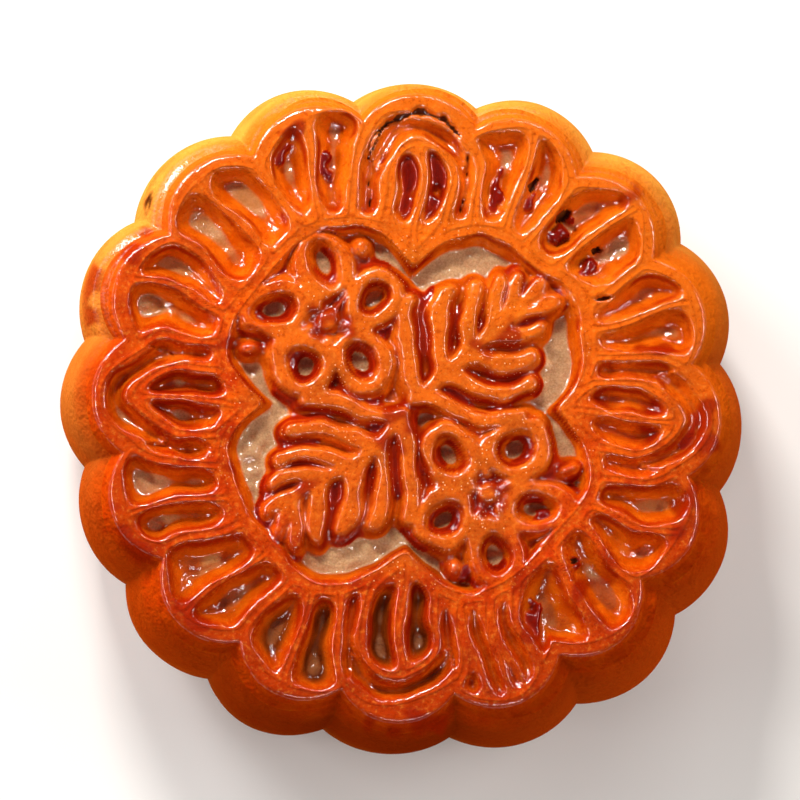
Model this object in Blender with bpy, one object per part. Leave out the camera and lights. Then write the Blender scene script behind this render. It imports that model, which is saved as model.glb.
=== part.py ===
"""A baked mooncake: one solid cake, pressed in a carved mould and baked whole.

The cake is a low drum with sixteen fluted lobes round its side. The stamp on its top leaves
a raised ring with four inward cusps, sixteen petals of raised lines round the ring, and two
blossoms and two leafy sprays inside it. Metres, +Z up. The origin is the middle of the flat
underside, and the four large petals point along +X, +Y, -X and -Y.
"""
import math

import bmesh
import bpy
import numpy as np

MM = 0.001

# The cake as a whole
HEIGHT = 33.0 * MM
CROWN = 0.5 * MM              # how far the top sinks from its middle to its edge
LOBES = 16
PITCH = 2 * math.pi / LOBES

# Levels up the side: height, radius at a lobe's crest, radius at a notch between lobes
SIDE_LEVELS = np.array([
    [0.0, 36.6, 36.0],
    [0.8, 38.0, 37.1],
    [3.5, 39.4, 38.1],
    [9.0, 40.4, 38.6],
    [15.5, 40.7, 38.7],
    [22.0, 40.3, 38.2],
    [27.0, 39.5, 37.3],
    [30.0, 38.8, 36.4],
    [31.8, 38.0, 35.4],
]) * MM
EDGE_CREST = 37.0 * MM        # the top face's outline
EDGE_NOTCH = 34.3 * MM

# The stamped lines
LINE = 0.95 * MM              # half the width of a line's top
SLOPE = 1.45 * MM             # how far a line's flank reaches sideways
DEPTH = 2.5 * MM              # from a line's top down to the floor
RIM = 1.7 * MM                # width of the raised rim of a small petal
FILLET = 0.2 * MM             # how softly lines run into each other

# The ring round the medallion
RING_WIDE = 23.6 * MM
RING_CUSP = 17.9 * MM
CUSP_SPREAD = math.radians(10)

# A large petal: its outer arch, and the inner arch that stands in it
OUTER_HALF = 7.4 * MM
OUTER_BEND = 28.6 * MM
OUTER_TIP = 35.9 * MM
INNER_HALF = 4.1 * MM
INNER_BEND = 26.6 * MM
INNER_TIP = 31.4 * MM

# A small petal: its middle rib, and the wall that it shares with the next one
SMALL_FOOT = 23.4 * MM
RIB_TIP = 34.9 * MM
WALL_TIP = 34.4 * MM

# The medallion's ornament
ORNAMENT_LINE = 0.7 * MM      # half the width of a stroke's top
ORNAMENT_PLACE = 9.9 * MM     # a blossom's centre, along X and along Y
BLOSSOM_REACH = 10.0 * MM
BLOSSOM_PETALS = 5
SPRAY_START = 1.2 * MM
SPRAY_LENGTH = 20.4 * MM
LEAF_PAIRS = 5

# The mesh
STEPS_PER_LOBE = 28
RING_STEP = 0.33 * MM
TRIANGLES = 9400


def clear_scene():
    for thing in list(bpy.data.objects):
        bpy.data.objects.remove(thing, do_unlink=True)


def lobed_radius(angle, crest, notch):
    """Radius of an outline of round lobes: each lobe is an arc through its crest and two notches."""
    off = (angle + PITCH / 2) % PITCH - PITCH / 2
    centre = (crest**2 - notch**2) / (2 * (crest - notch * math.cos(PITCH / 2)))
    return centre * np.cos(off) + np.sqrt((crest - centre) ** 2 - (centre * np.sin(off)) ** 2)


def ring_radius(angle):
    """Radius of the ring's middle line: a circle drawn in to a cusp at each large petal."""
    off = np.abs((angle + math.pi / 4) % (math.pi / 2) - math.pi / 4)
    return RING_WIDE - (RING_WIDE - RING_CUSP) * np.exp(-off / CUSP_SPREAD)


def polar(radius, angle):
    return np.stack([radius * np.cos(angle), radius * np.sin(angle)], axis=-1)


def turned(points, angle):
    cosine, sine = math.cos(angle), math.sin(angle)
    return np.asarray(points) @ np.array([[cosine, sine], [-sine, cosine]])


def arch(half, bend, tip, foot):
    """A pointed-foot arch along +X: out along one side, round the tip and back along the other."""
    sweep = np.linspace(0, math.pi, 15)
    bow = np.stack([bend + (tip - bend) * np.sin(sweep), half * np.cos(sweep)], axis=-1)
    return np.vstack([[foot, half], bow, [foot, -half]])


def spoke(start, end, angle, lean=0.0):
    """A straight line outwards; lean turns its inner end away from the spoke's own angle."""
    return polar(np.array([start, end]), np.array([angle + lean, angle]))


def large_petal():
    inner = arch(INNER_HALF, INNER_BEND, INNER_TIP, RING_CUSP + 3.0 * MM)
    inner = np.vstack([[RING_CUSP, 0], inner, [RING_CUSP, 0]])
    outer = arch(OUTER_HALF, OUTER_BEND, OUTER_TIP, RING_CUSP + 4.2 * MM)
    return [outer, inner, spoke(RING_CUSP, INNER_TIP, 0.0)]


def small_petals():
    """The three small petals between two large ones: three ribs and the two walls between them."""
    lines = [spoke(SMALL_FOOT, WALL_TIP, (k + 0.5) * PITCH) for k in (1, 2)]
    for k in (1, 2, 3):
        lines.append(spoke(SMALL_FOOT, RIB_TIP, k * PITCH, lean=(2 - k) * math.radians(4.5)))
    return lines


def petal_lines():
    quarter = large_petal() + small_petals()
    return [turned(line, k * math.pi / 2) for k in range(4) for line in quarter]


def ring_line():
    angle = np.linspace(0, 2 * math.pi, 129)
    return polar(ring_radius(angle), angle)


def blossom():
    """Closed loops set round a button, as a blossom pressed flat; its centre is the origin."""
    loop = polar(1.0, np.linspace(0, 2 * math.pi, 13))
    petal = loop * [0.31 * BLOSSOM_REACH, 0.275 * BLOSSOM_REACH] + [0.62 * BLOSSOM_REACH, 0]
    lines = [turned(petal, 2 * math.pi * k / BLOSSOM_PETALS) for k in range(BLOSSOM_PETALS)]
    return lines + [np.array([[0, 0], [0.05 * BLOSSOM_REACH, 0]])]


def spray():
    """A straight stem along +X with pairs of leaves that curl towards its tip."""
    end = SPRAY_START + SPRAY_LENGTH
    lines = [np.array([[SPRAY_START, 0], [end, 0]])]
    along = np.linspace(0, 1, 7)
    for pair in range(LEAF_PAIRS):
        foot = SPRAY_START + SPRAY_LENGTH * (0.03 + 0.185 * pair)
        length = SPRAY_LENGTH * (0.56 - 0.085 * pair)
        for side in (-1, 1):
            heading = side * (math.radians(68 - 5 * pair) - 0.55 * along)
            steps = np.stack([np.cos(heading), np.sin(heading)], axis=-1) * length / len(along)
            lines.append(np.vstack([[foot, 0], [foot, 0] + np.cumsum(steps, axis=0)]))
    return lines


def ornament_lines():
    """Blossoms at upper left and lower right, sprays growing to the other two corners."""
    corner = np.array([-ORNAMENT_PLACE, ORNAMENT_PLACE])
    lines = []
    for half_turn in (0.0, math.pi):
        lines += [turned(turned(line, math.radians(27)) + corner, half_turn) for line in blossom()]
        lines += [turned(line, math.radians(45) + half_turn) for line in spray()]
    return lines


def gap_to_line(x, y, line, half_width):
    """Distance from each point to the edge of one line, negative on the line."""
    nearest = np.full(x.shape, np.inf)
    for (ax, ay), (bx, by) in zip(line[:-1], line[1:]):
        dx, dy = bx - ax, by - ay
        along = np.clip(((x - ax) * dx + (y - ay) * dy) / (dx * dx + dy * dy), 0, 1)
        nearest = np.minimum(nearest, np.hypot(x - ax - along * dx, y - ay - along * dy))
    return nearest - half_width


def gap_to_all(x, y, lines, half_width):
    """Distance to the nearest of several lines, with a small fillet where two meet."""
    total = sum(np.exp(-gap_to_line(x, y, line, half_width) / FILLET) for line in lines)
    return -FILLET * np.log(np.maximum(total, 1e-30))


def gap_to_rim(x, y):
    """Distance inwards from the raised rim that follows the top's outline."""
    angle = np.arctan2(y, x)
    lobe = np.round(angle / PITCH)
    radius = np.hypot(x, y)
    rim = lobed_radius(angle, EDGE_CREST, EDGE_NOTCH) - radius - RIM
    beyond_arch = (1 - np.hypot(radius * np.cos(angle - lobe * PITCH) - OUTER_BEND,
                                radius * np.sin(angle - lobe * PITCH)) / OUTER_HALF) * OUTER_HALF
    return np.where((lobe % 4 == 0) & (radius > OUTER_BEND), np.minimum(rim, beyond_arch), rim)


def stamp_depth(x, y):
    """How far the stamp sinks the top at each point: nothing on a line, DEPTH on the floor."""
    gap = gap_to_all(x, y, petal_lines() + [ring_line()], LINE)
    gap = np.minimum(gap, gap_to_rim(x, y))
    inside = np.hypot(x, y) < ring_radius(np.arctan2(y, x))
    ornament = gap_to_all(x, y, ornament_lines(), ORNAMENT_LINE)
    gap = np.where(inside, np.minimum(gap, ornament), gap)
    share = np.clip(gap / SLOPE, 0, 1)
    return DEPTH * share * share * (3 - 2 * share)


def drum_profile():
    """The cake's half outline from the middle of the base, up the side and in over the top."""
    side = [(level[1], level[0]) for level in SIDE_LEVELS]
    rings = int(round(EDGE_CREST / RING_STEP))
    top = [(EDGE_CREST * k / rings, HEIGHT) for k in range(rings, -1, -1)]
    return [(0.0, 0.0)] + side + top


def turn_drum():
    """Spins the profile once round Z and closes the seam and the two poles."""
    shape = bmesh.new()
    verts = [shape.verts.new((radius, 0, z)) for radius, z in drum_profile()]
    edges = [shape.edges.new(pair) for pair in zip(verts[:-1], verts[1:])]
    bmesh.ops.spin(shape, geom=verts + edges, cent=(0, 0, 0), axis=(0, 0, 1),
                   angle=2 * math.pi, steps=LOBES * STEPS_PER_LOBE, use_duplicate=False)
    bmesh.ops.remove_doubles(shape, verts=shape.verts, dist=0.00001)
    bmesh.ops.recalc_face_normals(shape, faces=shape.faces)
    bmesh.ops.triangulate(shape, faces=shape.faces)
    mesh = bpy.data.meshes.new("mooncake")
    shape.to_mesh(mesh)
    shape.free()
    return mesh


def press_in_mould(mesh):
    """Flutes the side, draws the top out to its lobed outline and sinks the stamp into it."""
    points = np.empty(len(mesh.vertices) * 3, dtype=np.float32)
    mesh.vertices.foreach_get("co", points)
    points = points.reshape(-1, 3).astype(float)
    radius = np.hypot(points[:, 0], points[:, 1])
    angle = np.arctan2(points[:, 1], points[:, 0])
    z = points[:, 2].copy()

    side = (z < HEIGHT - 1e-6) & (radius > 1e-6)
    crest = np.interp(z[side], SIDE_LEVELS[:, 0], SIDE_LEVELS[:, 1])
    notch = np.interp(z[side], SIDE_LEVELS[:, 0], SIDE_LEVELS[:, 2])
    radius[side] = lobed_radius(angle[side], crest, notch)

    top = z > HEIGHT - 1e-6
    share = radius[top] / EDGE_CREST
    outline = lobed_radius(angle[top], EDGE_CREST, EDGE_NOTCH)
    radius[top] = share * (EDGE_CREST + (outline - EDGE_CREST) * share**6)
    x, y = radius[top] * np.cos(angle[top]), radius[top] * np.sin(angle[top])
    z[top] = HEIGHT - CROWN * share**2 - stamp_depth(x, y)

    points = np.stack([radius * np.cos(angle), radius * np.sin(angle), z], axis=-1)
    mesh.vertices.foreach_set("co", points.ravel().astype(np.float32))
    mesh.update()


def lighten(cake):
    """Collapses the fine mesh to TRIANGLES and sets its underside exactly on z = 0."""
    thin = cake.modifiers.new("lighten", "DECIMATE")
    thin.ratio = TRIANGLES / len(cake.data.polygons)
    thin.use_collapse_triangulate = True
    bpy.context.view_layer.update()
    light = bpy.data.meshes.new_from_object(cake.evaluated_get(bpy.context.evaluated_depsgraph_get()))
    cake.modifiers.clear()
    cake.data = light
    for vert in light.vertices:
        if vert.co.z < 0.1 * MM:
            vert.co.z = 0.0


def crust_material():
    crust = bpy.data.materials.new("baked_crust")
    crust.use_nodes = True
    shader = crust.node_tree.nodes["Principled BSDF"]
    shader.inputs["Base Color"].default_value = (0.72, 0.16, 0.02, 1)
    shader.inputs["Roughness"].default_value = 0.32
    shader.inputs["Metallic"].default_value = 0.0
    return crust


def build_mooncake():
    mesh = turn_drum()
    press_in_mould(mesh)
    cake = bpy.data.objects.new("mooncake", mesh)
    bpy.context.scene.collection.objects.link(cake)
    lighten(cake)
    cake.data.materials.clear()
    cake.data.materials.append(crust_material())
    cake.data.shade_smooth()
    cake.data.set_sharp_from_angle(angle=math.radians(50))
    return cake


clear_scene()
build_mooncake()
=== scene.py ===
import math

import bpy
import numpy as np
from mathutils import Matrix, Vector


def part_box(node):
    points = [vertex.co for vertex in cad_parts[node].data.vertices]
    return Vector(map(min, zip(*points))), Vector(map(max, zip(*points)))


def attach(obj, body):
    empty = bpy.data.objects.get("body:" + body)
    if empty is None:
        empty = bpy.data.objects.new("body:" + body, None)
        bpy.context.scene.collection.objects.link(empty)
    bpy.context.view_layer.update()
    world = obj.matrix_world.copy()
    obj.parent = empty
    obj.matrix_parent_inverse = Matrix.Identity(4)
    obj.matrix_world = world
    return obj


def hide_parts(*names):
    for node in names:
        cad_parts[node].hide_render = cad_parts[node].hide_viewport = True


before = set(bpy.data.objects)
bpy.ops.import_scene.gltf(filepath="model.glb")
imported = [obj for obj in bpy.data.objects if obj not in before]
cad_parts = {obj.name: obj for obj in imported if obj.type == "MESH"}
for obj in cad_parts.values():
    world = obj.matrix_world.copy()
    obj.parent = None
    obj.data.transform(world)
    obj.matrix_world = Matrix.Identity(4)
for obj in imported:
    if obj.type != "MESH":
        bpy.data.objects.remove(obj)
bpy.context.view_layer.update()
low, high = (Vector(corner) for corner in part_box("mooncake"))
MM = 0.001


# ---- Camera, table and studio light -------------------------------------------------------
# The cake lies on a plain white table and is seen from almost straight above, a little from
# its lower left. A small lamp and a low window stand behind its upper left edge, as in a food
# studio, and four narrow strips round it draw thin bright lines along the wet ridges.
VIEW_TILT = math.radians(5.0)          # how far the view leans from straight down
VIEW_FROM = math.radians(-137)         # the side that it leans to
VIEW_ROLL = math.radians(2.2)
VIEW_DISTANCE = 0.95
VIEW_WIDTH = 0.0950                    # width of what the view holds, at the cake's waist
VIEW_DROP = 1.9 * MM                   # the cake sits this much below the view's middle


def aim(thing, place, target, up=Vector((0, 1, 0))):
    """Turns a thing's -Z from its place to the target, with its own +Y as near up as can be."""
    back = (place - target).normalized()
    right = up.cross(back).normalized()
    turn = Matrix((right, back.cross(right), back)).transposed().to_4x4()
    thing.matrix_world = Matrix.Translation(place) @ turn


middle = (low + high) / 2
lean = Vector((math.cos(VIEW_FROM), math.sin(VIEW_FROM), 0)) * math.sin(VIEW_TILT)
view_up = Vector((-math.sin(VIEW_ROLL), math.cos(VIEW_ROLL), 0))
look_at = middle + view_up * VIEW_DROP
lens = bpy.data.cameras.new("camera")
lens.sensor_width = 36.0
lens.lens = lens.sensor_width * VIEW_DISTANCE / VIEW_WIDTH
lens.clip_start = 0.05
camera = bpy.data.objects.new("camera", lens)
bpy.context.collection.objects.link(camera)
aim(camera, look_at + (lean + Vector((0, 0, math.cos(VIEW_TILT)))) * VIEW_DISTANCE, look_at, view_up)
bpy.context.scene.camera = camera


def add_lamp(name, place, size, watts, colour):
    """A square soft lamp at a place in metres, turned towards the cake."""
    light = bpy.data.lights.new(name, "AREA")
    light.shape = "RECTANGLE"
    light.size, light.size_y = size
    light.energy = watts
    light.color = colour
    lamp = bpy.data.objects.new(name, light)
    bpy.context.collection.objects.link(lamp)
    aim(lamp, Vector(place), middle)


add_lamp("key_lamp", (-0.14, 0.38, 0.40), (0.13, 0.06), 2.3, (1.0, 0.97, 0.93))
add_lamp("low_window", (-0.33, 0.30, 0.16), (0.24, 0.15), 2.0, (1.0, 1.0, 1.0))
add_lamp("left_strip", (-0.42, -0.04, 0.30), (0.02, 0.36), 0.85, (1.0, 0.98, 0.96))
add_lamp("right_strip", (0.42, 0.06, 0.32), (0.02, 0.36), 1.0, (1.0, 0.97, 0.94))
add_lamp("near_strip", (0.04, -0.42, 0.34), (0.36, 0.02), 0.65, (1.0, 0.98, 0.96))
add_lamp("far_strip", (0.16, 0.42, 0.30), (0.30, 0.02), 0.6, (1.0, 0.98, 0.96))

world = bpy.data.worlds.new("studio")
world.use_nodes = True
world.node_tree.nodes["Background"].inputs["Color"].default_value = (1.0, 0.985, 0.97, 1)
world.node_tree.nodes["Background"].inputs["Strength"].default_value = 0.06
bpy.context.scene.world = world
bpy.context.scene.view_settings.view_transform = "Standard"


def linear(hex_colour):
    """An sRGB hex colour as linear RGBA."""
    channels = [int(hex_colour[k:k + 2], 16) / 255 for k in (1, 3, 5)]
    return [c / 12.92 if c <= 0.04045 else ((c + 0.055) / 1.055) ** 2.4 for c in channels] + [1.0]


def add(tree, kind, inputs=None, **settings):
    """Adds a node; inputs maps a socket's name or number to a value or to a socket to link."""
    made = tree.nodes.new(kind)
    for name, value in settings.items():
        setattr(made, name, value)
    for name, value in (inputs or {}).items():
        if isinstance(value, bpy.types.NodeSocket):
            tree.links.new(value, made.inputs[name])
        else:
            made.inputs[name].default_value = value
    return made


def new_material(name):
    """An empty node material with its output; returns the material and its tree."""
    material = bpy.data.materials.new(name)
    material.use_nodes = True
    material.node_tree.nodes.clear()
    return material, material.node_tree


table_paper, tree = new_material("white_table_paper")
paper = add(tree, "ShaderNodeBsdfPrincipled", {"Base Color": linear("#F6F4F1"), "Roughness": 0.75})
add(tree, "ShaderNodeOutputMaterial", {"Surface": paper.outputs["BSDF"]})
bpy.ops.mesh.primitive_plane_add(size=3.0, location=(0, 0, low.z - 0.2 * MM))
table = bpy.context.object
table.name = "table"
table.data.materials.append(table_paper)


# ---- The side: a drum fluted by the mould -------------------------------------------------
# Thin wheat dough round a solid filling, pressed in a mould of sixteen round flutes. In the
# oven the side swells out past the top, more on one diagonal, so no two lobes are quite alike.
LOBES = 16
PITCH = 2 * math.pi / LOBES
HEIGHT = high.z - low.z
WAIST = 0.47 * HEIGHT
EDGE_CREST, EDGE_NOTCH = 37.4 * MM, 34.4 * MM
WAIST_CREST, WAIST_NOTCH = 40.6 * MM, 38.4 * MM
BASE_CREST, BASE_NOTCH = 36.6 * MM, 36.0 * MM
TOP_POWER, BASE_POWER = 2.4, 3.2                         # how late the side turns in, up and down
SQUARENESS = 0.5 * MM                                    # the cake is a little wider on its diagonals
SKEW, SKEW_AT, STRETCH = 0.40 * MM, math.radians(145), 0.25 * MM
SHOULDER_DROP, SHOULDER_GROOVE = 3.4 * MM, 0.95 * MM     # a shallow step under the top's rim
SHOULDER_REACH = 0.95                                    # how far up and down it runs, in mm
SHOULDER_DEEPER, SHOULDER_WAVE = 0.8, 14 * MM            # deeper at the drawn out corner, and uneven
SHOULDER_WANDER, SHOULDER_FADE = 0.45, 0.3               # in height, in mm, and as a share of depth
# How much further each lobe swelled than the mould's, anticlockwise from the cake's right.
LOBE_SWELL = MM * np.array([0.0, 0.4, 0.7, 0.4, -0.6, 0.0, -0.5, -0.2,
                            -0.2, -0.8, -0.3, 0.8, 0.4, 0.9, 1.2, 0.9])
TOP_BULGE, TOP_BULGE_AT = 0.9 * MM, math.radians(137)    # the top is drawn out a little at one corner


def lobed_radius(angle, crest, notch):
    """Radius of an outline of round lobes: each lobe is an arc through its crest and two notches."""
    off = (angle + PITCH / 2) % PITCH - PITCH / 2
    centre = (crest**2 - notch**2) / (2 * (crest - notch * math.cos(PITCH / 2)))
    return centre * np.cos(off) + np.sqrt((crest - centre) ** 2 - (centre * np.sin(off)) ** 2)


def side_radius(angle, z):
    """Side's radius at an angle and height: lobed outlines that widen from the base to the waist and
    narrow again to the top edge, each by a power of the distance from the waist. Cosines of two and
    four times the angle and each lobe's own swell are added at the waist, the corner's bulge at the
    top, and the shoulder's groove is a bell of the height, taken off."""
    below = np.clip((WAIST - z) / WAIST, 0, 1)
    above = np.clip((z - WAIST) / (HEIGHT - WAIST), 0, 1)
    fall = np.where(z < WAIST, below**BASE_POWER, above**TOP_POWER)
    crest = WAIST_CREST + (np.where(z < WAIST, BASE_CREST, EDGE_CREST) - WAIST_CREST) * fall
    notch = WAIST_NOTCH + (np.where(z < WAIST, BASE_NOTCH, EDGE_NOTCH) - WAIST_NOTCH) * fall
    square = SQUARENESS * np.cos(4 * (angle - math.radians(45)))
    skew = SKEW * np.cos(2 * (angle - SKEW_AT)) + STRETCH * np.cos(2 * angle)
    share = angle / PITCH % LOBES
    lobe = np.floor(share).astype(int)
    passed = step(share - lobe, 0.0, 1.0)
    bump = LOBE_SWELL[lobe % LOBES] * (1 - passed) + LOBE_SWELL[(lobe + 1) % LOBES] * passed
    deeper = 1 + SHOULDER_DEEPER * np.clip(np.cos(angle - TOP_BULGE_AT), 0, 1)
    uneven = waves(EDGE_CREST * np.cos(angle), EDGE_CREST * np.sin(angle), SHOULDER_WAVE, 12, 17)
    below_groove = (HEIGHT - z - SHOULDER_DROP) / MM + SHOULDER_WANDER * uneven
    shoulder = SHOULDER_GROOVE * deeper * (1 - SHOULDER_FADE * uneven)
    shoulder = shoulder * np.exp(-(below_groove / SHOULDER_REACH) ** 2)
    bulge = top_bulge(angle) * (z > WAIST) * fall
    return lobed_radius(angle, crest, notch) + (square + skew + bump) * (1 - fall) + bulge - shoulder


def top_bulge(angle):
    """How far the top's outline is drawn out: the fourth power of the cosine from one direction."""
    return TOP_BULGE * np.clip(np.cos(angle - TOP_BULGE_AT), 0, 1) ** 4


def step(value, low_end, high_end):
    """Smooth step from nothing at low_end to one at high_end."""
    share = np.clip((value - low_end) / (high_end - low_end), 0, 1)
    return share * share * (3 - 2 * share)


def waves(x, y, length, count, seed):
    """Smooth random field of about unit size: a sum of plane waves of seeded direction and phase,
    their lengths spread round the one given."""
    draw = np.random.default_rng(seed)
    turn, phase = draw.uniform(0, 2 * math.pi, (2, count))
    stretch = draw.uniform(0.7, 1.5, count)
    total = np.zeros_like(x)
    for a, p, s in zip(turn, phase, stretch):
        total += np.sin((x * math.cos(a) + y * math.sin(a)) * 2 * math.pi / (length * s) + p)
    return total * math.sqrt(2 / count)


# ---- The stamped lines: ring and petals ---------------------------------------------------
# The mould's carved grooves leave raised lines of dough: a ring with four inward cusps, four
# large petals of two arches, and twelve small petals, each an arch with a rib down its middle.
LINE = 0.50 * MM              # half the width of a line's flat top
SLOPE = 2.35 * MM             # how far a line's flank reaches sideways
DEPTH = 2.6 * MM
RIM_SET = 1.55 * MM           # the rim's crest stands this far in from the outline
RIM_DROP = 1.7 * MM           # and its outer flank falls this much
FILLET = 0.30 * MM            # how softly lines run into each other at their tops
HOLLOW = 1.0 * MM             # and how roundly the slots between them bottom out
CRISPNESS = 0.3               # share of the lines' own outline in the slots' round one
FLANK_POWER = 1.8             # above one, flanks are steepest beside the line
RING_LINE, RING_SLOPE = LINE * 1.4, 0.7 * SLOPE
BEAD, BEAD_AT, BEAD_WIDTH = 0.07 * MM, 0.16, 0.24             # a fine bead along a line's edges
BEND, BEND_LENGTH = 0.38 * MM, 13 * MM                        # how far baking bent the lines
SWELL, SWELL_LENGTH = 0.14 * MM, 5 * MM                       # and how unevenly it swelled them
RING_WIDE, RING_CUSP = 23.6 * MM, 17.9 * MM
CUSP_SPREAD, CUSP_BLUNT = math.radians(9), math.radians(2.5)
OUTER_HALF, OUTER_BEND, OUTER_TIP = 7.4 * MM, 28.6 * MM, 35.9 * MM
OUTER_FOOT, OUTER_FOOT_HALF = 22.4 * MM, 6.9 * MM
INNER_HALF, INNER_BEND, INNER_TIP = 4.1 * MM, 26.6 * MM, 31.4 * MM
INNER_FOOT, INNER_FOOT_HALF = 22.0 * MM, 3.2 * MM
SMALL_START, WALL_END, RIB_END = 23.4 * MM, 34.4 * MM, 34.9 * MM     # walls part the small petals
RIB_LEAN = math.radians(4.5)
# One small petal came out squashed, with two thin extra ribs at these angles in pitches, and the
# left and near petals' slots are steeper.
THIN_RIBS, THIN_START, THIN_END = (-3.22, -2.78), 24.6 * MM, 33.6 * MM
SQUEEZE, SQUEEZE_AT, SQUEEZE_REACH = math.radians(4.5), math.radians(-57), math.radians(11)
SQUEEZE_FULL = 29 * MM        # the radius from which it is squashed in full
STEEPER, STEEPER_REACH = 0.65, math.radians(24)


def polar(radius, angle):
    """Points at a radius and an angle."""
    return np.stack([radius * np.cos(angle), radius * np.sin(angle)], axis=-1)


def turned(points, angle):
    """Points turned about the origin."""
    cosine, sine = math.cos(angle), math.sin(angle)
    return np.asarray(points) @ np.array([[cosine, sine], [-sine, cosine]])


def ring_radius(angle):
    """Radius of the ring's middle line: a circle drawn in to a blunt cusp at each large petal, by the
    exponential of the angle from it, the angle's own corner rounded off as a hyperbola."""
    off = (angle + math.pi / 4) % (math.pi / 2) - math.pi / 4
    off = np.sqrt(off**2 + CUSP_BLUNT**2) - CUSP_BLUNT
    return RING_WIDE - (RING_WIDE - RING_CUSP) * np.exp(-off / CUSP_SPREAD)


def arch(half, bend, tip, foot, foot_half):
    """An arch along +X: from its foot to the bend, round the tip by half an ellipse, and back."""
    sweep = np.linspace(0, math.pi, 19)
    bow = np.stack([bend + (tip - bend) * np.sin(sweep), half * np.cos(sweep)], axis=-1)
    return np.vstack([[foot, foot_half], bow, [foot, -foot_half]])


def spoke(start, end, angle, lean=0.0):
    """A straight line outwards; lean turns its inner end away from the spoke's own angle."""
    return polar(np.array([start, end]), np.array([angle + lean, angle]))


def petal_lines():
    """Every raised line outside the ring, quarter by quarter, with each line's half width."""
    lines = []
    for quarter in range(4):
        inner = arch(INNER_HALF, INNER_BEND, INNER_TIP, INNER_FOOT, INNER_FOOT_HALF)
        inner = np.vstack([[RING_CUSP, 0], inner, [RING_CUSP, 0]])
        outer = arch(OUTER_HALF, OUTER_BEND, OUTER_TIP, OUTER_FOOT, OUTER_FOOT_HALF)
        made = [(outer, LINE), (inner, LINE), (spoke(RING_CUSP, INNER_TIP, 0.0), LINE * 0.8)]
        for k in (1, 2):
            made.append((spoke(SMALL_START, WALL_END, (k + 0.5) * PITCH), LINE))
        for k in (1, 2, 3):
            made.append((spoke(SMALL_START, RIB_END, k * PITCH, (2 - k) * RIB_LEAN), LINE * 0.9))
        lines += [(turned(line, quarter * math.pi / 2), half) for line, half in made]
    for rib in THIN_RIBS:
        lines.append((spoke(THIN_START, THIN_END, rib * PITCH), LINE * 0.5))
    return lines


def gap_to_lines(x, y, lines, softness=FILLET):
    """Distance to the edge of the nearest line, negative on it. Each line's distance is the least
    over its straight runs; the lines join by a soft minimum, which leaves a fillet where two meet."""
    total = np.zeros_like(x)
    for line, half in lines:
        nearest = np.full(x.shape, np.inf)
        for (ax, ay), (bx, by) in zip(line[:-1], line[1:]):
            dx, dy = bx - ax, by - ay
            along = np.clip(((x - ax) * dx + (y - ay) * dy) / (dx * dx + dy * dy), 0, 1)
            nearest = np.minimum(nearest, np.hypot(x - ax - along * dx, y - ay - along * dy))
        total += np.exp(np.clip(half - nearest, -0.03, 0.03) / softness)
    return -softness * np.log(total + 1e-40)


def soft_least(first, second, softness):
    """Soft minimum of two distances."""
    least = np.minimum(first, second)
    return least - softness * np.log1p(np.exp(-np.abs(first - second) / softness))


def gap_to_rim(x, y):
    """Distance inwards from the raised rim: the top's outline, or a large petal's outer arch."""
    angle = np.arctan2(y, x)
    radius = np.hypot(x, y)
    rim = lobed_radius(angle, EDGE_CREST, EDGE_NOTCH) - radius - RIM_SET - LINE
    off = angle - np.round(angle / PITCH) * PITCH
    large = np.round(angle / PITCH) % 4 == 0
    arched = np.hypot((radius * np.cos(off) - OUTER_BEND) * OUTER_HALF / (OUTER_TIP - OUTER_BEND),
                      radius * np.sin(off))
    return np.where(large & (radius > OUTER_BEND), np.minimum(rim, OUTER_HALF - arched - LINE), rim)


# ---- The medallion's ornament -------------------------------------------------------------
# Inside the ring the mould has thick rounded lines: two five-petalled blossoms at opposite
# corners and two leafy sprays at the others, filling the medallion nearly edge to edge.
ORNAMENT_LINE = 0.62 * MM
ORNAMENT_SLOPE = 1.70 * MM
ORNAMENT_ROUND = 1.7          # above one, the lines' tops are round
ORNAMENT_SHRINK = 0.2 * MM    # the lines' round tops take this off their width
FAR = 9 * MM                  # stands for no ornament near
BLOSSOM_PLACE, BLOSSOM_REACH, BLOSSOM_PETALS = 9.9 * MM, 10.0 * MM, 5
SPRAY_START, SPRAY_LENGTH, LEAF_PAIRS = 1.2 * MM, 20.4 * MM, 5


def blossom():
    """Closed oval loops set round a button, with a ray and a bud between each two; the blossom's own
    centre is the origin."""
    loop = polar(1.0, np.linspace(0, 2 * math.pi, 17))
    petal = loop * [0.31 * BLOSSOM_REACH, 0.275 * BLOSSOM_REACH] + [0.62 * BLOSSOM_REACH, 0]
    lines = [(np.array([[0, 0], [0.05 * BLOSSOM_REACH, 0]]), ORNAMENT_LINE * 1.3)]
    for k in range(BLOSSOM_PETALS):
        lines.append((turned(petal, 2 * math.pi * k / BLOSSOM_PETALS), ORNAMENT_LINE))
        between = np.full(2, math.pi * (2 * k + 1) / BLOSSOM_PETALS)
        ray = polar(BLOSSOM_REACH * np.array([0.22, 0.46]), between)
        bud = polar(BLOSSOM_REACH * np.array([0.92, 0.96]), between)
        lines += [(ray, ORNAMENT_LINE * 0.4), (bud, ORNAMENT_LINE * 0.7)]
    return lines


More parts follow.
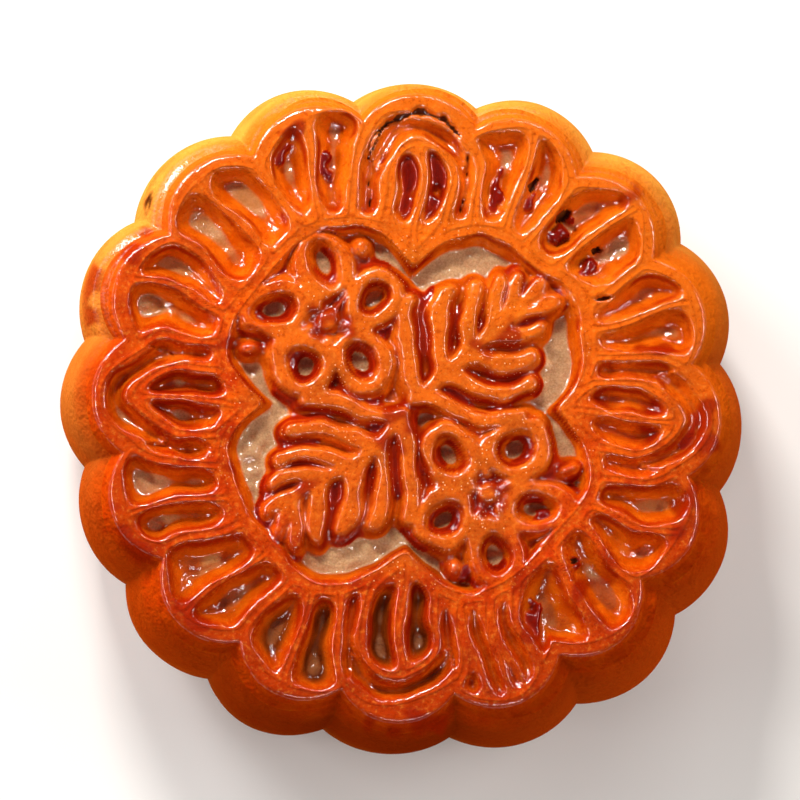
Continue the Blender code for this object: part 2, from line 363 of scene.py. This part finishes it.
def spray():
    """A stem along +X with pairs of leaves that curl towards its tip."""
    lines = [(np.array([[SPRAY_START, 0], [SPRAY_START + SPRAY_LENGTH, 0]]), ORNAMENT_LINE)]
    along = np.linspace(0, 1, 8)
    for pair in range(LEAF_PAIRS):
        foot = SPRAY_START + SPRAY_LENGTH * (0.03 + 0.185 * pair)
        length = SPRAY_LENGTH * (0.56 - 0.085 * pair)
        for side in (-1, 1):
            heading = side * (math.radians(68 - 5 * pair) - 0.55 * along)
            steps = np.stack([np.cos(heading), np.sin(heading)], axis=-1) * length / len(along)
            leaf = np.vstack([[foot, 0], [foot, 0] + np.cumsum(steps, axis=0)])
            lines.append((leaf, ORNAMENT_LINE * 1.15))
    return lines


def ornament_lines():
    """Blossoms at upper left and lower right, sprays growing to the other two corners."""
    corner = np.array([-BLOSSOM_PLACE, BLOSSOM_PLACE])
    lines = []
    for half_turn in (0.0, math.pi):
        for line, half in blossom():
            lines.append((turned(turned(line, math.radians(27)) + corner, half_turn), half))
        for line, half in spray():
            lines.append((turned(line, math.radians(45) + half_turn), half))
    return lines


def stamp(x, y):
    """Depth below the lines' tops, that depth as a share of the whole, the gap to a crisp line, and
    the gap to the ornament's round lines. The places are first bent by random fields and turned round
    the squashed petal. Each gap is then taken as a share of a flank's reach: ring and petals sink by one
    less a power of the rest of the share, steep by the line and flat at the floor, and the ornament by
    a power of the share, flat at both. A low bell of the gap, the bead, stands along each line's edges."""
    bend_x = x + BEND * waves(x, y, BEND_LENGTH, 9, 3)
    bend_y = y + BEND * waves(x, y, BEND_LENGTH, 9, 4)
    swell = SWELL * waves(x, y, SWELL_LENGTH, 12, 5)
    angle = np.arctan2(bend_y, bend_x)
    inwards = 1 - top_bulge(angle) * np.hypot(x, y) / EDGE_CREST**2
    bend_x, bend_y = bend_x * inwards, bend_y * inwards
    radius = np.hypot(bend_x, bend_y)
    ring_gap = np.abs(radius - ring_radius(angle)) - RING_LINE
    rim_gap = gap_to_rim(bend_x, bend_y)
    squeeze = SQUEEZE * np.exp(-((angle - SQUEEZE_AT) / SQUEEZE_REACH) ** 2)
    squeeze = squeeze * step(radius, RING_WIDE, SQUEEZE_FULL)
    line_x, line_y = radius * np.cos(angle + squeeze), radius * np.sin(angle + squeeze)
    petal_gap = soft_least(gap_to_lines(line_x, line_y, petal_lines()),
                           soft_least(ring_gap, rim_gap, FILLET), FILLET)
    hollow = soft_least(gap_to_lines(line_x, line_y, petal_lines(), HOLLOW),
                        soft_least(ring_gap, rim_gap, HOLLOW), HOLLOW)
    inside = radius < ring_radius(angle)
    ornament_gap = gap_to_lines(bend_x, bend_y, ornament_lines()) + ORNAMENT_SHRINK
    from_left, from_near = math.pi - np.abs(angle), 2 * np.abs(angle + math.pi / 2)
    steeper = 1 + STEEPER * np.exp(-(np.minimum(from_left, from_near) / STEEPER_REACH) ** 2)
    petal_share = np.clip((CRISPNESS * petal_gap + hollow - swell) * steeper / SLOPE, 0, 1)
    ornament_share = np.clip((ornament_gap - swell) / ORNAMENT_SLOPE, 0, 1)
    ring_share = np.clip((ring_gap - swell) / RING_SLOPE, 0, 1)
    round_lines = ornament_share**ORNAMENT_ROUND * (1 + ORNAMENT_ROUND - ORNAMENT_ROUND * ornament_share)
    flank = 1 - (1 - np.where(inside, ring_share, petal_share)) ** FLANK_POWER
    sunk = np.where(inside, np.minimum(flank, round_lines), flank)
    gap = np.where(inside, ring_gap, petal_gap)
    bead = BEAD * np.exp(-((gap / MM + BEAD_AT) / BEAD_WIDTH) ** 2)
    return DEPTH * sunk - bead, sunk, gap, np.where(inside, ornament_gap, FAR)


# ---- Pools of glaze, tears and a scorch ---------------------------------------------------
# Egg wash ran into the narrow hollows and baked to dark red beads and pools. The crust tore at
# the top petal's arch, in four slots on the upper right and in one on the lower right, and one
# spot of the side scorched. Each place is a middle in mm across the top, its half length and half
# width in mm, and its turn in degrees.
POOLS = [
    (-15.8, 30.4, 1.6, 1.1, 60), (-16.6, 28.6, 0.9, 0.8, 0), (-11.0, 27.9, 1.9, 0.9, 80),
    (-25.8, 26.2, 1.6, 0.7, 0), (-33.2, 15.0, 1.1, 0.8, 30), (9.3, 24.6, 3.2, 0.8, 82),
    (13.0, 24.4, 1.4, 0.7, 70), (32.8, -1.2, 2.9, 1.2, 85), (33.0, -6.2, 1.6, 0.9, 60),
    (20.6, 17.6, 1.6, 0.8, 50), (17.0, 21.6, 1.6, 0.9, 50), (15.5, -24.0, 2.0, 1.1, 100),
    (19.6, -17.4, 1.1, 1.1, 0), (15.9, -12.9, 2.0, 1.0, 60), (7.6, -19.0, 3.0, 0.8, 165),
]
TEARS = [(13.6, 27.0, 1.1, 0.5, 60), (17.3, 23.4, 1.2, 0.6, 38), (21.4, 19.6, 0.7, 0.4, 35),
         (22.4, 13.9, 0.9, 0.25, 15), (20.2, -17.0, 0.5, 0.45, 0)]
TEAR_DEPTH = 1.1 * MM
CRACK_INSET, CRACK_TIP_INSET = 1.5 * MM, 1.25 * MM       # how far inside the top petal's outer arch
CRACK_FOOT, CRACK_FOOT_HALF = 23.5 * MM, 5.4 * MM
CRACK_OPENS, CRACK_RISE = 27.5, 6.5                      # in mm: it opens from here, in full this much on
# The quarters whose inner arch holds glaze, anticlockwise from the right, and how full it is.
ARCH_POOLS, ARCH_POOL = [(0, 0.15), (1, 1.0), (2, 0.12)], (26.8, 0.0, 6.4, 3.8, 0)
POOL_LEVEL = 0.40 * DEPTH     # how far below the lines' tops the glaze stands
DARK_GLAZE = 0.35 * MM        # the depth at which glaze turns dark
SCORCH, SCORCH_HEIGHT, SCORCH_THICK = (-31.6, 23.3, 1.9, 1.1, 75), 26.5 * MM, 2.2 * MM
# Where the wash burnt dark red over rims and strokes alike.
STAINS = [
    (35.0, -1.5, 5.0, 2.2, 88), (32.5, -10.5, 4.0, 1.6, 70), (22.0, -19.5, 2.6, 2.0, 45),
    (16.0, -25.5, 2.4, 1.6, 60), (-37.8, 12.5, 5.0, 1.8, 80), (-31.5, -17.5, 4.5, 2.0, 120),
    (-24.5, -25.0, 4.0, 2.0, 135), (3.0, -36.5, 6.0, 1.6, 5), (24.5, 26.5, 3.0, 1.6, 130),
    (-1.5, -2.5, 3.2, 2.6, 20), (10.5, 8.5, 4.0, 2.0, 30), (-9.5, 9.8, 3.4, 2.6, 0),
    (9.8, -10.0, 2.6, 2.4, 0), (-11.5, -9.0, 3.4, 1.2, 45), (-22.5, 6.5, 3.0, 1.0, 15),
    (28.5, 8.0, 3.4, 1.0, 15), (-14.5, 32.0, 2.6, 1.2, 20), (-32.5, 17.5, 2.4, 1.4, 60),
]
# Where the wash also coats the slots' floors: the middle and the reach of each, in degrees.
WASHED = [(38, 17), (-45, 20), (222, 20)]


def spot(x, y, place):
    """One at an oval's middle, falling by the square of the distance to nothing at its edge, and below
    nothing past it."""
    cx, cy, long, wide, turn = place
    cosine, sine = math.cos(math.radians(turn)), math.sin(math.radians(turn))
    dx, dy = x / MM - cx, y / MM - cy
    return 1 - ((dx * cosine + dy * sine) / long) ** 2 - ((dy * cosine - dx * sine) / wide) ** 2


def glaze_depth(x, y, sink, ornament_gap):
    """Depth of the glaze that lies level in the hollows, in metres: how far the dough lies below the
    pool's level, times the pool's share. Pools fill the inner arches of three large petals, creases of
    the ornament where a random field is high, and the places listed."""
    total = np.zeros_like(x)
    for quarter, strength in ARCH_POOLS:
        across, along = turned(np.stack([x, y], axis=-1), -quarter * math.pi / 2).T[::-1]
        share = strength * step(spot(along, across, ARCH_POOL), 0.0, 0.4)
        total = np.maximum(total, share * step(waves(x, y, 2.8 * MM, 18, 21), -1.3, 0.4))
    crease = step(waves(x, y, 7 * MM, 16, 22), -0.3, 0.6) * (1 - step(ornament_gap, 0.9 * MM, 1.5 * MM))
    total = np.maximum(total, 0.8 * crease)
    uneven = 0.45 * waves(x, y, 2.0 * MM, 16, 23)
    for place in POOLS:
        pool = spot(x, y, place)
        total = np.maximum(total, step(pool + uneven, -0.2, 0.6) * (pool > -1))
    return total * np.maximum(sink - POOL_LEVEL, 0)


def crease_share(x, y, sunk):
    """Share of dark red in the valleys between close lines: most where the dough has sunk a third of
    the way, in the medallion and the inner arches, and only where a random field is high."""
    valley = step(sunk, 0.10, 0.32) * (1 - step(sunk, 0.55, 0.85))
    angle = np.arctan2(y, x)
    off = (angle + math.pi / 4) % (math.pi / 2) - math.pi / 4
    reach = np.hypot(x, y)
    inner_arch = (np.abs(off) < 0.15) * (1 - step(reach, 29 * MM, 31 * MM))
    held = np.maximum(1 - step(reach, 19 * MM, 21 * MM), inner_arch)
    return valley * held * step(waves(x, y, 8 * MM, 16, 51), -1.1, 0.3)


def stained(x, y):
    """Share of burnt glaze on the listed places, each a soft oval broken up by a random field."""
    uneven = 0.55 * waves(x, y, 3.2 * MM, 18, 61)
    spots = [spot(x, y, place) for place in STAINS]
    return 0.85 * np.max([step(s + uneven, 0.0, 1.1) * (s > -1) for s in spots], axis=0)


def washed_floor(x, y):
    """Share of egg wash on the slots' floors: a bell of the angle round each listed direction, the
    largest of them, broken up by a random field."""
    angle = np.degrees(np.arctan2(y, x))
    bells = [np.exp(-(((angle - at + 180) % 360 - 180) / wide) ** 2) for at, wide in WASHED]
    return 0.9 * np.max(bells, axis=0) * step(waves(x, y, 6 * MM, 14, 62), -1.2, 0.4)


def torn_open(x, y):
    """Share of torn crust: ragged ovals, and a crack along the top petal's groove that gapes at the
    tip and thins down both of its sides, by the eighth power of the share of its rise."""
    ragged = 0.22 * waves(x, y, 1.5 * MM, 18, 31)
    total = np.zeros_like(x)
    for place in TEARS:
        tear = spot(x, y, place)
        total = np.maximum(total, step(tear + ragged, 0.05, 0.35) * (tear > -1))
    path = arch(OUTER_HALF - CRACK_INSET, OUTER_BEND, OUTER_TIP - CRACK_TIP_INSET,
                CRACK_FOOT, CRACK_FOOT_HALF)
    off_path = gap_to_lines(x, y, [(turned(path, math.pi / 2), 0.0)]) / MM
    off_path = np.abs(off_path + 0.15 * waves(x, y, 3 * MM, 12, 33))
    rise = np.clip((y / MM - CRACK_OPENS) / CRACK_RISE, 0, 1)
    half = (0.02 + 0.30 * rise**8) * (1 + 0.4 * waves(x, y, 1.4 * MM, 14, 32))
    crack = (1 - step(off_path, half * 0.6, half * 1.3 + 0.08)) * (np.abs(x) < 8 * MM) * (y > 22 * MM)
    return np.maximum(total, crack)


# ---- The crust's mesh ---------------------------------------------------------------------
# One skin of baked dough, closed all round: the stamped top, the fluted side, and the flat
# underside where it stood on the tray.
TOP_RINGS = 128               # eight more points in each ring, so 0.29 mm between points
SIDE_RINGS = 26
BASE_RINGS = 3
SIDE_CROWDING = 1.5           # above one, the side's rings crowd together under the rim
LOBE_PULL = 6                 # the higher, the fewer of the top's outer rings follow the lobes
BARE_EDGE = 0.75 * MM         # the brush stops this far in from the top's outline
EDGE_FADE = 1.3 * MM          # and the top's looks run into the side's over this much
STAIN_FADE = (15 * MM, 7 * MM)                   # stains set in between these depths under the top
CROWN = 0.5 * MM              # the top's middle stands this much higher than its edge
RIM_POWER = 1.7               # how late the rim turns down
SKIN_WAVE, SKIN_WAVE_LENGTH = 0.05 * MM, 5 * MM
PEBBLE, PEBBLE_LENGTH = 0.11 * MM, 2.3 * MM      # the sunk floors are pebbly


def disc_points(rings):
    """A disc of a square's grid: the square's side runs become arcs, so ring k holds 8k points."""
    line = np.linspace(-1, 1, 2 * rings + 1)
    u, v = np.meshgrid(line, line, indexing="xy")
    reach = np.maximum(np.abs(u), np.abs(v))
    wide = np.abs(u) >= np.abs(v)
    angle = np.where(wide, v / np.where(wide, np.where(u == 0, 1, u), 1) * math.pi / 4,
                     math.pi / 2 - u / np.where(wide, 1, np.where(v == 0, 1, v)) * math.pi / 4)
    angle = np.where(wide & (u < 0) | ~wide & (v < 0), angle + math.pi, angle)
    return reach.ravel(), np.where(reach == 0, 0, angle).ravel()


def crust_mesh():
    """Top grid, then rings down the side and in across the underside, sewn along the grid's edge. The
    top's height falls from the middle by the square of the share of the radius, less the stamp, less a
    power of the nearness to the rim, plus two random fields. The side's rings close up under the rim."""
    share, angle = disc_points(TOP_RINGS)
    size = 2 * TOP_RINGS + 1
    outline = lobed_radius(angle, EDGE_CREST, EDGE_NOTCH) + top_bulge(angle)
    radius = share * (EDGE_CREST + (outline - EDGE_CREST) * share**LOBE_PULL)
    x, y = radius * np.cos(angle), radius * np.sin(angle)
    sink, sunk, gap, ornament_gap = stamp(x, y)
    glaze = glaze_depth(x, y, sink, ornament_gap)
    torn = torn_open(x, y)
    sink = sink - glaze + TEAR_DEPTH * torn
    pool = 1 - np.exp(-glaze / DARK_GLAZE)
    from_edge = outline - radius
    round_off = RIM_DROP * np.clip(1 - from_edge / (RIM_SET - LINE), 0, 1) ** RIM_POWER
    z = HEIGHT - CROWN * share**2 - sink - round_off
    z += SKIN_WAVE * waves(x, y, SKIN_WAVE_LENGTH, 12, 7)
    z += PEBBLE * waves(x, y, PEBBLE_LENGTH, 20, 8) * step(sunk, 0.75, 1.0)
    top = np.stack([x, y, z], axis=-1)

    index = np.arange(size * size).reshape(size, size)
    edge = np.concatenate([index[0, :-1], index[:-1, -1], index[-1, :0:-1], index[:0:-1, 0]])
    edge_angle = np.arctan2(top[edge, 1], top[edge, 0])
    edge_z = top[edge, 2]

    drop = np.linspace(0, 1, SIDE_RINGS + 1)[1:, None] ** SIDE_CROWDING
    ring_z = np.maximum(edge_z[None, :] * (1 - drop), 0)
    ring_angle = np.broadcast_to(edge_angle, ring_z.shape)
    ring_radius_now = side_radius(ring_angle, ring_z)
    side = np.concatenate([polar(ring_radius_now, ring_angle), ring_z[..., None]], axis=-1)
    shrink = np.linspace(1, 0, BASE_RINGS + 1)[1:-1, None, None]
    base = side[-1] * shrink
    points = np.vstack([top, side.reshape(-1, 3), base.reshape(-1, 3), [[0, 0, 0]]])

    quads = np.stack([index[:-1, :-1], index[:-1, 1:], index[1:, 1:], index[1:, :-1]], axis=-1)
    quads = quads.reshape(-1, 4)
    count = len(edge)
    rows = np.vstack([edge, len(top) + np.arange((SIDE_RINGS + BASE_RINGS - 1) * count).reshape(-1, count)])
    after = np.roll(rows, -1, axis=1)
    walls = np.stack([rows[:-1], rows[1:], after[1:], after[:-1]], axis=-1).reshape(-1, 4)
    hub = np.full(count, len(points) - 1)
    fan = np.stack([rows[-1], hub, after[-1]], axis=-1)

    mesh = bpy.data.meshes.new("baked_crust")
    mesh.from_pydata(points.tolist(), [], quads.tolist() + walls.tolist() + fan.tolist())
    mesh.update()
    rest = points[len(top):]
    edge_share = step(share * EDGE_CREST, EDGE_CREST - EDGE_FADE, EDGE_CREST)
    scorch = spot(rest[:, 0], rest[:, 1], SCORCH) - ((rest[:, 2] - SCORCH_HEIGHT) / SCORCH_THICK) ** 2
    scorch = step(scorch + 0.16 * waves(rest[:, 0] + rest[:, 2], rest[:, 1], 2.2 * MM, 12, 41), -0.1, 0.8)
    high_up = step(points[:, 2], HEIGHT - STAIN_FADE[0], HEIGHT - STAIN_FADE[1])
    lowest = step(-y - 0.5 * np.abs(x), 12 * MM, 22 * MM)
    fields = {"sunk": (sunk, np.zeros(len(rest))),
              "gap_mm": (np.clip(gap / MM, -1, 3), np.full(len(rest), -1.0)),
              "pool": (pool, np.zeros(len(rest))),
              "torn": (torn, np.zeros(len(rest))),
              "side": (edge_share, np.ones(len(rest))),
              "outside": (step(np.hypot(x, y), 20 * MM, 23 * MM), np.ones(len(rest))),
              "crease": (crease_share(x, y, sunk), np.zeros(len(rest))),
              "stain": (stained(points[:, 0], points[:, 1]) * high_up,),
              # Painted shade: the deep slots darkened on the lower side of the top.
              "painted_slot_shade": (step(sunk, 0.5, 0.92) * lowest, np.zeros(len(rest))),
              "washed": (washed_floor(x, y), np.zeros(len(rest))),
              "scorch": (np.zeros(len(top)), scorch)}
    for name, parts in fields.items():
        values = np.concatenate(parts)
        mesh.attributes.new(name, "FLOAT", "POINT").data.foreach_set("value", values.astype(np.float32))
    mesh.shade_smooth()
    finish = np.ones(len(mesh.polygons), dtype=np.int32)
    finish[:len(quads)] = (from_edge[quads].max(axis=1) < BARE_EDGE)
    mesh.polygons.foreach_set("material_index", finish)
    return mesh


crust = bpy.data.objects.new("baked_crust", crust_mesh())
bpy.context.collection.objects.link(crust)


# ---- The crust's surface ------------------------------------------------------------------
# Golden syrup dough brushed with egg yolk and baked: raised lines brown to a deep orange-red,
# flanks stay bright orange, and the sunk floors, which the brush misses, stay pale and dull.
def crust_material(name, bare_coat, lit_coat):
    """Baked dough whose coat of glaze has a weight that goes from bare_coat to lit_coat towards the upper
    left. Each value below is a position, a field of the mesh or a noise; each share is a smooth step of a
    value, from the first number where the value is low_end to the second where it is high_end; each
    paint mixes two paints or colours by a share, in the order in which they are laid on. Most are the
    oven's colours, but the near-white dots are painted glints, the lower slots' darkening is painted
    shade, and the side's pale top and dark bottom are partly painted light and shade."""
    material, tree = new_material(name)
    place = add(tree, "ShaderNodeTexCoord").outputs["Object"]
    axis = add(tree, "ShaderNodeSeparateXYZ", {"Vector": place}).outputs
    value = {"right": axis[0], "up": axis[1], "height": axis[2]}
    for field in ("sunk", "gap_mm", "pool", "torn", "side", "scorch", "outside", "crease", "painted_slot_shade", "stain",
                  "washed"):
        value[field] = add(tree, "ShaderNodeAttribute", attribute_name=field).outputs["Fac"]
    for field, size_mm, detail in (("broad", 9.0, 3.0), ("syrup", 6.5, 2.0), ("smear", 5.0, 4.0),
                                   ("patch", 2.2, 4.0), ("lump", 1.6, 2.0), ("crumb", 0.55, 2.0),
                                   ("fine", 0.40, 3.0), ("grain", 0.25, 2.0)):
        value[field] = add(tree, "ShaderNodeTexNoise", {
            "Vector": place, "Scale": 1000 / size_mm, "Detail": detail, "Roughness": 0.6}).outputs["Fac"]
    flat = add(tree, "ShaderNodeVectorMath", {0: place, 1: (1, 1, 0)}, operation="MULTIPLY").outputs[0]
    value["reach"] = add(tree, "ShaderNodeVectorMath", {0: flat}, operation="LENGTH").outputs["Value"]
    for field, first, factor, second in (
            ("heat", "right", 0.35, "up"), ("diagonal", "right", -0.3, "up"),
            ("corner", "up", -0.4, "right"), ("ragged", "patch", 0.1, "sunk"),
            ("rim_heat", "broad", 0.008, "reach")):
        value[field] = add(tree, "ShaderNodeMath", {0: value[first], 1: factor, 2: value[second]},
                           operation="MULTIPLY_ADD").outputs[0]

    share = {key: value[key] for key in ("side", "scorch", "outside", "crease", "painted_slot_shade", "stain", "washed")}
    for key, field, low_end, high_end, start, end in (
            ("patchy", "patch", 0.36, 0.66, 0, 1),
            ("burnt", "smear", 0.50, 0.66, 0, 0.85),
            ("outer", "rim_heat", 0.0315, 0.0370, 0, 0.5),
            ("golden", "reach", 0.021, 0.017, 0, 0.36),
            ("paler", "heat", -0.004, 0.032, 0, 0.7),
            ("redder", "heat", -0.002, -0.034, 0, 0.45),
            ("light_crumb", "crumb", 0.54, 0.70, 0, 0.26),
            ("dark_crumb", "crumb", 0.46, 0.30, 0, 0.45),
            ("flank", "ragged", 0.15, 0.90, 0, 1),
            ("upper_flank", "ragged", 0.05, 0.25, 0, 1),
            ("lower_flank", "ragged", 0.62, 0.35, 0, 1),
            ("syrupy", "syrup", 0.46, 0.62, 0, 0.9),
            ("floor", "ragged", 0.93, 1.05, 0, 1),
            ("grainy", "grain", 0.3, 0.7, 0, 1),
            ("browned", "broad", 0.42, 0.60, 0, 0.6),
            # Painted shade: slot floors darker towards the lower side.
            ("shaded_low_floors", "up", -0.016, -0.028, 0, 0.6),
            # The side is paler towards the top and darker towards the bottom: partly its own uneven
            # browning, partly painted light above and painted shade below.
            ("pale_and_lit_upwards", "up", -0.02, 0.035, 0, 1),
            ("blotch", "broad", 0.45, 0.68, 0, 0.4),
            ("bottom", "up", -0.027, -0.038, 0, 0.75),
            ("ruddy", "corner", 0.018, 0.038, 0, 0.8),
            ("upper_side", "height", 0.1 * HEIGHT, 0.7 * HEIGHT, 0.35, 1),
            ("off_table", "height", 0.0, 0.008, 0, 1),
            ("under_rim", "height", HEIGHT - 0.006, HEIGHT - 0.002, 0, 0.9),
            ("halo", "pool", 0.02, 0.5, 0, 1),
            ("deep", "pool", 0.35, 0.95, 0, 1),
            ("rent", "torn", 0.3, 0.9, 0, 1),
            ("inner_bead", "gap_mm", -0.42, -0.14, 0, 1),
            ("outer_bead", "gap_mm", -0.10, 0.16, 1, 0),
            ("glint_on_tops", "sunk", 0.75, 0.2, 0, 0.8),
            ("clustered", "smear", 0.44, 0.56, 0, 1),
            ("on_top", "side", 0.5, 0.1, 0, 1),
            ("inmost", "reach", 0.026, 0.018, 0.06, 1),
            ("lumpy", "side", 0, 1, 0.1, 1),
            ("dull", "sunk", 0.8, 1.0, 0.27, 0.5),
            ("broken", "crumb", 0.42, 0.54, 0.4, 1),
            ("coat", "diagonal", 0.012, 0.032, bare_coat, lit_coat)):
        share[key] = add(tree, "ShaderNodeMapRange", {
            "Value": value[field], "From Min": low_end, "From Max": high_end,
            "To Min": start, "To Max": end}, interpolation_type="SMOOTHSTEP").outputs[0]

    # Painted glints: near-white dots on chosen cells, mostly on the raised tops of the medallion.
    cells = add(tree, "ShaderNodeTexVoronoi", {"Vector": place, "Scale": 1000 / 0.48}).outputs
    share["glint_dot"] = add(tree, "ShaderNodeMapRange", {
        "Value": cells["Distance"], "From Min": 0.12, "From Max": 0.22,
        "To Min": 1.0, "To Max": 0.0}).outputs[0]
    share["chosen"] = add(tree, "ShaderNodeMath", {0: cells["Color"], 1: 0.4},
                          operation="GREATER_THAN").outputs[0]
    facing = add(tree, "ShaderNodeLayerWeight", {"Blend": 0.5}).outputs["Facing"]
    share["facing_us"] = add(tree, "ShaderNodeMapRange", {
        "Value": facing, "From Min": 0.25, "From Max": 0.50, "To Min": 1.0, "To Max": 0.0},
        interpolation_type="SMOOTHSTEP").outputs[0]
    for key, factors in (("outlined", ("syrupy", "upper_flank", "lower_flank")),
                         ("bead", ("inner_bead", "outer_bead")),
                         ("painted_glint", ("glint_dot", "chosen", "glint_on_tops", "clustered", "on_top", "inmost")),
                         ("glaze", ("coat", "facing_us", "broken"))):
        share[key] = share[factors[0]]
        for factor in factors[1:]:
            share[key] = add(tree, "ShaderNodeMath", {0: share[key], 1: share[factor]},
                             operation="MULTIPLY").outputs[0]

    paint = {}
    for made, under, key, over in (
            ("tops", "#BC3403", "patchy", "#D85206"),
            ("tops", "tops", "burnt", "#9A1E02"),
            ("tops", "tops", "outer", "#A83002"),
            ("tops", "tops", "golden", "#E4781C"),
            ("tops", "tops", "paler", "#E46E10"),
            ("tops", "tops", "redder", "#A83002"),
            ("flecked", "tops", "light_crumb", "#EE8A2A"),
            ("flecked", "flecked", "dark_crumb", "#8C2002"),
            ("flanks", "#CC5002", "patchy", "#E2680C"),
            ("flanks", "flanks", "redder", "#B04404"),
            ("floors", "#C09266", "grainy", "#D4AA7E"),
            ("slots", "floors", "browned", "#D07A24"),
            ("slots", "slots", "washed", "#BE4A08"),
            # Painted shade: slot floors darker towards the lower side.
            ("slots", "slots", "shaded_low_floors", "#83380A"),
            ("floors", "floors", "outside", "slots"),
            ("body", "flecked", "flank", "flanks"),
            ("body", "body", "outlined", "#A02202"),
            ("body", "body", "crease", "#921A02"),
            # Painted shade deep in the slots on the lower side.
            ("body", "body", "painted_slot_shade", "#6A2C0A"),
            ("body", "body", "floor", "floors"),
            # Side paler towards the top and darker at the bottom: partly uneven browning, partly painted
            # light and painted shade.
            ("wall", "#A03404", "pale_and_lit_upwards", "#DE8E34"),
            ("wall", "wall", "blotch", "#C24A0A"),
            ("wall", "wall", "bottom", "#741E02"),
            ("wall", "wall", "ruddy", "#AC3C08"),
            ("wall", "#A85A1E", "upper_side", "wall"),
            ("wall", "#8A3A0C", "off_table", "wall"),
            ("wall", "wall", "under_rim", "tops"),
            ("body", "body", "side", "wall"),
            ("body", "body", "stain", "#941C02"),
            ("body", "body", "scorch", "#4A1A06"),
            ("body", "body", "halo", "#A82404"),
            ("body", "body", "deep", "#7A0E02"),
            ("body", "body", "rent", "#6A3212"),
            # Painted glints: near-white dots that stand for sparkle on the wet glaze.
            ("body", "body", "painted_glint", "#FFC088")):
        under, over = (paint[c] if c in paint else linear(c) for c in (under, over))
        paint[made] = add(tree, "ShaderNodeMix", {"Factor": share[key], 6: under, 7: over},
                          data_type="RGBA").outputs[2]

    skin = add(tree, "ShaderNodeBump", {
        "Height": value["fine"], "Strength": 0.5, "Distance": 0.25 * MM}).outputs[0]
    skin = add(tree, "ShaderNodeBump", {
        "Height": value["lump"], "Strength": share["lumpy"], "Distance": 0.5 * MM,
        "Normal": skin}).outputs[0]
    skin = add(tree, "ShaderNodeBump", {
        "Height": share["bead"], "Strength": 0.8, "Distance": 0.10 * MM, "Normal": skin}).outputs[0]
    film = add(tree, "ShaderNodeBump", {
        "Height": value["crumb"], "Strength": 0.5, "Distance": 0.12 * MM}).outputs[0]
    shader = add(tree, "ShaderNodeBsdfPrincipled", {
        "Base Color": paint["body"], "Roughness": share["dull"], "Normal": skin, "Specular IOR Level": 0.0,
        "Coat Weight": share["glaze"], "Coat Roughness": 0.10, "Coat IOR": 1.85, "Coat Normal": film,
        "Subsurface Weight": 0.12, "Subsurface Radius": (1.0, 0.35, 0.12), "Subsurface Scale": 0.0012})
    add(tree, "ShaderNodeOutputMaterial", {"Surface": shader.outputs["BSDF"]})
    return material


# Egg yolk over golden syrup dough: a wet, broken shine along every raised line, over orange and red.
# Its painted glints, near-white dots that stand for sparkle on wet bubbles, and its crumbs are drawn about
# 0.5 mm across, coarser than the real ones, so that they show.
crust.data.materials.append(crust_material("egg_washed_golden_syrup_dough", 0.80, 1.0))
# The same dough on the side, which the brush hardly reached: dull and smooth, with a run of wash that
# shines only on the upper left shoulder.
crust.data.materials.append(crust_material("unwashed_side_dough", 0.0, 1.0))
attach(crust, "root")
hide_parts("mooncake")
